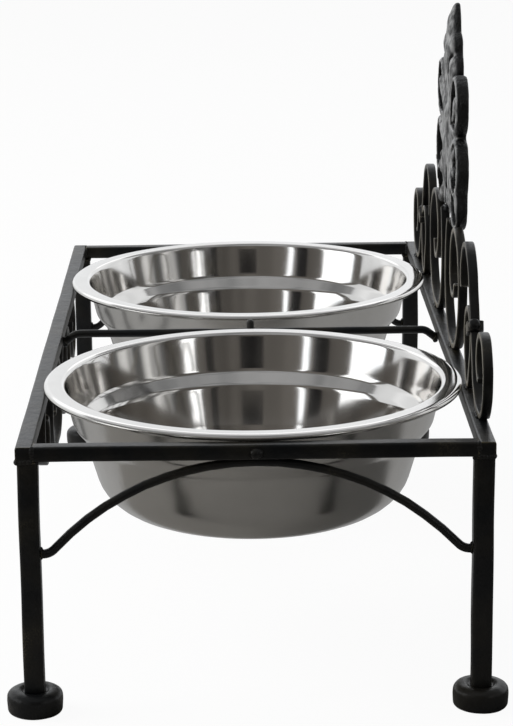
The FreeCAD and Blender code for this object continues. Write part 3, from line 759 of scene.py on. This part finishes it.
# %% Bowls
def bowl(name, body):
    low, high = box_mm(name)
    centre = (low + high) / 2
    rim, top, depth = (high.x - low.x) / 2, high.z, high.z - low.z
    sheet, bead = 0.9, 1.4
    floor = top - depth + sheet
    bm = bmesh.new()
    lip = [(rim - 0.25, top - 2 * bead)]
    for step in range(0, 91, 10):
        lip.append((rim - 3.4 * (1 - cos(radians(step))), top - 1.9 * (1 - sin(radians(step)))))
    corners = lip + [(rim - 10.5, top), (rim - 15.5, top - 21.0), (rim - 21.0, top - 27.5)]
    corners += [(rim - 32.5, floor), (0, floor)]
    profile(bm, corners, [0] * (len(lip) - 1) + [2.0, 1.6, 1.8, 17.0])
    wall = [edge for edge in bm.edges if edge.calc_length() > 8.0]
    bmesh.ops.subdivide_edges(bm, edges=wall, cuts=9)
    turn(bm, list(bm.verts) + list(bm.edges), 180)
    inside = list(bm.faces)
    bmesh.ops.recalc_face_normals(bm, faces=inside)
    if sum(face.normal.z * face.calc_area() for face in inside) < 0:
        bmesh.ops.reverse_faces(bm, faces=inside)
    bmesh.ops.solidify(bm, geom=inside, thickness=sheet)
    for face in bm.faces:
        way = face.calc_center_median()
        outward = Vector((way.x, way.y, 0)).normalized() * 0.7 - UP * 0.7
        face.material_index = 1 if face.normal.dot(outward) > 0.05 else 0
    ring = bmesh.ops.create_circle(bm, cap_ends=False, radius=bead - 0.35, segments=16)["verts"]
    place = Matrix.Translation((rim - bead - 0.3, 0, top - bead - 0.35))
    place = place @ Matrix.Rotation(radians(90), 4, "X")
    bmesh.ops.transform(bm, matrix=place, verts=ring)
    loop = list({edge for point in ring for edge in point.link_edges})
    bmesh.ops.spin(bm, geom=ring + loop, cent=(0, 0, 0), axis=(0, 0, 1), angle=2 * pi, steps=180,
                   use_merge=True)
    bmesh.ops.translate(bm, vec=(centre.x, centre.y, 0), verts=bm.verts)
    finishes = [mirror_steel, satin_steel]
    piece = finish_piece(name, bm, finishes, body=body, nodes=[name], crease=30.0)
    print(name, [round(v / MM, 1) for v in piece.dimensions], "faces", len(piece.data.polygons))
    return piece


bowls = [bowl(f"{end}_bowl", f"{end}_bowl") for end, sign in ENDS]

# %% [markdown]
# Welds hold the frame together. A bead is a row of overlapping lumps, each a little different from
# its neighbour, laid in the corner of a joint.


# %% Welds
def bead(bm, start, stop, size, lumps):
    for k in range(lumps):
        spot = start.lerp(stop, k / max(lumps - 1, 1))
        swell = 1.0 + 0.25 * noise.noise(spot * 0.37 + Vector((0.5, 0.2, 0.7)))
        made = bmesh.ops.create_icosphere(bm, subdivisions=3, radius=size * swell)["verts"]
        bmesh.ops.translate(bm, vec=spot, verts=made)


bm = bmesh.new()
for end, sign in ENDS:
    rail_low, rail_high = box_mm(f"{end}_end_rail")
    face_x = sign * max(abs(rail_low.x), abs(rail_high.x))
    nub = Vector((face_x - sign * 0.6, 0.5, (rail_low.z + rail_high.z) / 2 - 0.6))
    bead(bm, nub - DEEP * 0.7, nub + DEEP * 0.7, 2.6, 2)
    arch_low, arch_high = box_mm(f"{end}_end_arch")
    arch_x = (arch_low.x + arch_high.x) / 2
    bead(bm, Vector((arch_x, -9, arch_high.z + 0.2)), Vector((arch_x, 9, arch_high.z + 0.2)), 1.3, 9)
    for side, way in (("front", -1), ("back", 1)):
        leg_low, leg_high = box_mm(f"{side}_{end}_leg")
        inner_y = leg_high.y if way < 0 else leg_low.y
        tip = Vector((arch_x, inner_y + way * 0.5, arch_low.z + 2.3))
        bead(bm, tip + UP * 1.9, tip - UP * 1.6, 1.7, 4)
        corner = Vector((arch_x, inner_y + way * 0.4, leg_high.z - 0.6))
        bead(bm, corner - ACROSS * 4, corner + ACROSS * 4, 1.2, 7)
        long_low, long_high = box_mm(f"{side}_rail")
        in_y = long_high.y if way < 0 else long_low.y
        in_x = sign * min(abs(rail_low.x), abs(rail_high.x))
        inside = Vector((in_x - sign * 0.2, in_y + way * 0.2, long_low.z + 1.2))
        bead(bm, inside, inside + UP * 4.2, 1.7, 4)
        seam = Vector((face_x - sign * 1.3, in_y, long_low.z + 1.4))
        bead(bm, seam, seam + UP * 4.6, 1.7, 4)
        under = Vector((face_x - sign * 1.4, in_y + way * 4.0, long_low.z + 0.1))
        bead(bm, under - DEEP * 3.0, under + DEEP * 2.6, 1.8, 4)
    for spot in (s_foot, lyre_foot, toe):
        middle = Vector((sign * spot.x, spot.y, rail_top + 0.2))
        for edge_y in (-2.6, 2.6):
            line = middle + DEEP * edge_y
            bead(bm, line - ACROSS * 3.5, line + ACROSS * 3.5, 0.95, 6)
    hang = Vector((sign * apron_back.x, apron_back.y, apron_back.z + strip_thick / 2))
    for along in (-26.0, 26.0):
        spot = hang + ACROSS * along + DEEP * 2.3
        bead(bm, spot - ACROSS * 4, spot + ACROSS * 4, 1.1, 6)
    neck = Vector((sign * 19.5, panel_y + 0.6, crest_floor + 0.5))
    bead(bm, neck - ACROSS * 3.0, neck + ACROSS * 3.0, 1.8, 5)
for way in (-1, 1):
    tip = Vector((0, way * 105.6, box_mm("centre_crossbar")[0].z + 2.0))
    bead(bm, tip - UP * 1.2, tip + UP * 1.6, 1.6, 4)
hammer(bm, 0.25, 2.2, 5.0)
welds = finish_piece("weld_beads", bm, [foot_iron], crease=60.0)
print("weld faces", len(welds.data.polygons))

# %% [markdown]
# The stand is shown in a pale room: a white floor and background, a bright window to the left of
# the eye, a grey room behind the eye and narrow windows in it. Those cards, and the level ones above
# and below, are only there to be mirrored in the steel and on the iron.


# %% Stage
def card_material(name, dark, light, strength, bands):
    """A glowing card with cloudy upright bands."""
    material, tone = new_material(name)
    band = grain(tone, bands, 2.0, (1.0, 1.0, 0.12))
    glow = tone.node("Emission", {"Color": band.step(0.32, 0.68).blend(dark, light), "Strength": strength})
    close(tone, glow)
    return material


def floor_material(name):
    material, tone = new_material(name)
    seen = tone.node("LightPath", outlet="Is Camera Ray")
    white = tone.node("Emission", {"Color": colour(1, 1, 1), "Strength": 1.0})
    chalk = tone.node("BsdfDiffuse", {"Color": colour(0.95, 0.95, 0.95)})
    table = tone.node("BsdfDiffuse", {"Color": colour(0.34, 0.334, 0.322)})
    shown = tone.node("MixShader", {"Fac": 0.055, 1: white, 2: chalk})
    close(tone, tone.node("MixShader", {"Fac": seen, 1: table, 2: shown}))
    return material


def stage_piece(name, bm, material, seen=False):
    mesh = bpy.data.meshes.new(name)
    bm.to_mesh(mesh)
    bm.free()
    piece = bpy.data.objects.new(name, mesh)
    bpy.context.scene.collection.objects.link(piece)
    mesh.materials.append(material)
    piece.visible_camera = seen
    piece.visible_shadow = seen
    piece.visible_diffuse = seen
    return piece


def bent_wall(name, radius, start, stop, low, high, material):
    """A piece of round wall about the stand, between two bearings from +X towards +Y."""
    bm = bmesh.new()
    foot_point = bmesh.ops.create_vert(bm, co=(radius, 0, low))["vert"][0]
    head = bmesh.ops.extrude_vert_indiv(bm, verts=[foot_point])
    bmesh.ops.translate(bm, vec=(0, 0, high - low), verts=head["verts"])
    bmesh.ops.rotate(bm, cent=(0, 0, 0), matrix=Matrix.Rotation(radians(start), 3, "Z"), verts=bm.verts)
    bmesh.ops.spin(bm, geom=list(bm.verts) + list(bm.edges), cent=(0, 0, 0), axis=(0, 0, 1),
                   angle=radians(stop - start), steps=max(2, int((stop - start) / 3)))
    return stage_piece(name, bm, material)


bm = bmesh.new()
bmesh.ops.create_grid(bm, x_segments=1, y_segments=1, size=6.0)
floor = stage_piece("floor", bm, floor_material("pale_floor"), True)
room = card_material("room_grey", colour(0.082, 0.076, 0.069), colour(0.174, 0.162, 0.148), 1.0, 0.8)
ceiling = card_material("ceiling_grey", colour(0.2, 0.205, 0.21), colour(0.4, 0.405, 0.41), 1.0, 1.1)
pale = card_material("pale_wall", colour(0.7, 0.715, 0.73), colour(0.9, 0.915, 0.935), 1.25, 0.8)
ground = card_material("ground_grey", colour(0.36, 0.363, 0.365), colour(0.48, 0.484, 0.486), 1.0, 0.8)
curtain = card_material("curtain", colour(0.1, 0.1, 0.1), colour(0.85, 0.85, 0.84), 1.0, 3.2)
bright = card_material("window_white", colour(0.9, 0.95, 1.0), colour(1, 1, 1), 1.9, 1.0)
dark = card_material("dark_board", colour(0.012, 0.012, 0.012), colour(0.03, 0.029, 0.028), 1.0, 3.0)
# name, distance, bearings from and to, bottom and top, finish
cards = (
    ("room_wall", 2.6, -100, 100, 0.0, 2.4, room),
    ("far_wall", 2.6, 100, 260, 0.0, 2.2, pale),
    ("side_window", 2.4, -92, -64, 0.2, 1.7, bright),
    ("narrow_window", 2.4, -37, -33, 0.2, 1.5, bright),
    ("dark_cupboard", 2.4, -50, -40, 0.0, 1.3, dark),
    ("right_window", 2.4, 36, 45, 0.25, 1.3, bright),
    ("dark_post", 2.3, 24, 29, 0.0, 1.6, dark),
    ("right_curtain", 2.4, 56, 96, 0.1, 1.9, curtain),
    ("dark_shelf", 2.3, -7, 7, 0.5, 0.84, dark),
)
for card in cards:
    bent_wall(*card)


def flat_card(name, low, high, height, material):
    """A level card that is only mirrored, between two corners."""
    bm = bmesh.new()
    points = bmesh.ops.create_grid(bm, x_segments=1, y_segments=1, size=0.5)["verts"]
    bmesh.ops.scale(bm, vec=(high[0] - low[0], high[1] - low[1], 1), verts=points)
    bmesh.ops.translate(bm, vec=((low[0] + high[0]) / 2, (low[1] + high[1]) / 2, height), verts=points)
    return stage_piece(name, bm, material)


flat_card("ceiling", (-2.6, -2.6), (2.6, 2.6), 2.5, ceiling)
flat_card("grey_ground", (-2.6, -0.5), (0.1, 0.5), 0.002, ground)
flat_card("dark_ground", (0.52, -2.4), (2.6, 2.4), 0.002, dark)
flat_card("dark_ground_left", (-0.9, -2.4), (0.52, -0.5), 0.002, dark)
flat_card("dark_ground_right", (-0.9, 0.5), (0.52, 2.4), 0.002, dark)


def lamp(name, spot, aim, size, power, tint):
    light = bpy.data.lights.new(name, "AREA")
    light.shape = "SQUARE"
    light.size = size
    light.energy = power
    light.color = tint
    made = bpy.data.objects.new(name, light)
    made.location = spot
    made.rotation_euler = (Vector(aim) - Vector(spot)).to_track_quat("-Z", "Y").to_euler()
    bpy.context.scene.collection.objects.link(made)
    return made


window_lamp = lamp("window_lamp", (-0.2, -1.9, 1.2), (0, 0, 0.15), 1.6, 50.0, (1.0, 0.99, 0.97))
window_lamp.visible_glossy = False
sky_lamp = lamp("sky_lamp", (-1.5, -0.2, 1.9), (0, 0, 0.1), 2.4, 7.0, (0.97, 0.98, 1.0))

world = bpy.data.worlds.new("pale_room")
bpy.context.scene.world = world
world.use_nodes = True
world.node_tree.nodes.clear()
sky = Tone(world.node_tree)
seen = sky.node("LightPath", outlet="Is Camera Ray")
white = sky.node("Background", {"Color": colour(1, 1, 1), "Strength": 1.0})
soft = sky.node("Background", {"Color": colour(0.97, 0.985, 1.0), "Strength": 0.25})
both_skies = sky.node("MixShader", {"Fac": seen, 1: soft, 2: white})
sky.node("OutputWorld", {"Surface": both_skies})
bpy.context.scene.view_settings.view_transform = "Standard"
print("cards", len(cards), "lamps", window_lamp.name, sky_lamp.name)

# %% [markdown]
# The eye stands beyond the right end, a little above the bowls, and looks along the stand. A long
# lens from well over a metre keeps the far bowl almost as wide as the near one.

# %% Camera
eye = Vector((1.3211, -0.0118, 0.458))
yaw, pitch, roll = radians(0.658), radians(14.558), radians(-0.55)
forward = Vector((-cos(yaw) * cos(pitch), sin(yaw) * cos(pitch), -sin(pitch)))
level_right = forward.cross(UP).normalized()
level_up = level_right.cross(forward)
right = level_right * cos(roll) + level_up * sin(roll)
upward = level_up * cos(roll) - level_right * sin(roll)
camera_data = bpy.data.cameras.new("eye")
camera_data.sensor_width = 36.0
focal_pixels, photo_height_pixels = 2387.0, 726.0
camera_data.lens = camera_data.sensor_width * focal_pixels / photo_height_pixels
camera_data.clip_start = 0.05
camera = bpy.data.objects.new("eye", camera_data)
camera.matrix_world = Matrix((
    (right.x, upward.x, -forward.x, eye.x),
    (right.y, upward.y, -forward.y, eye.y),
    (right.z, upward.z, -forward.z, eye.z),
    (0, 0, 0, 1),
))
bpy.context.scene.collection.objects.link(camera)
bpy.context.scene.camera = camera
print("lens", round(camera_data.lens, 1))
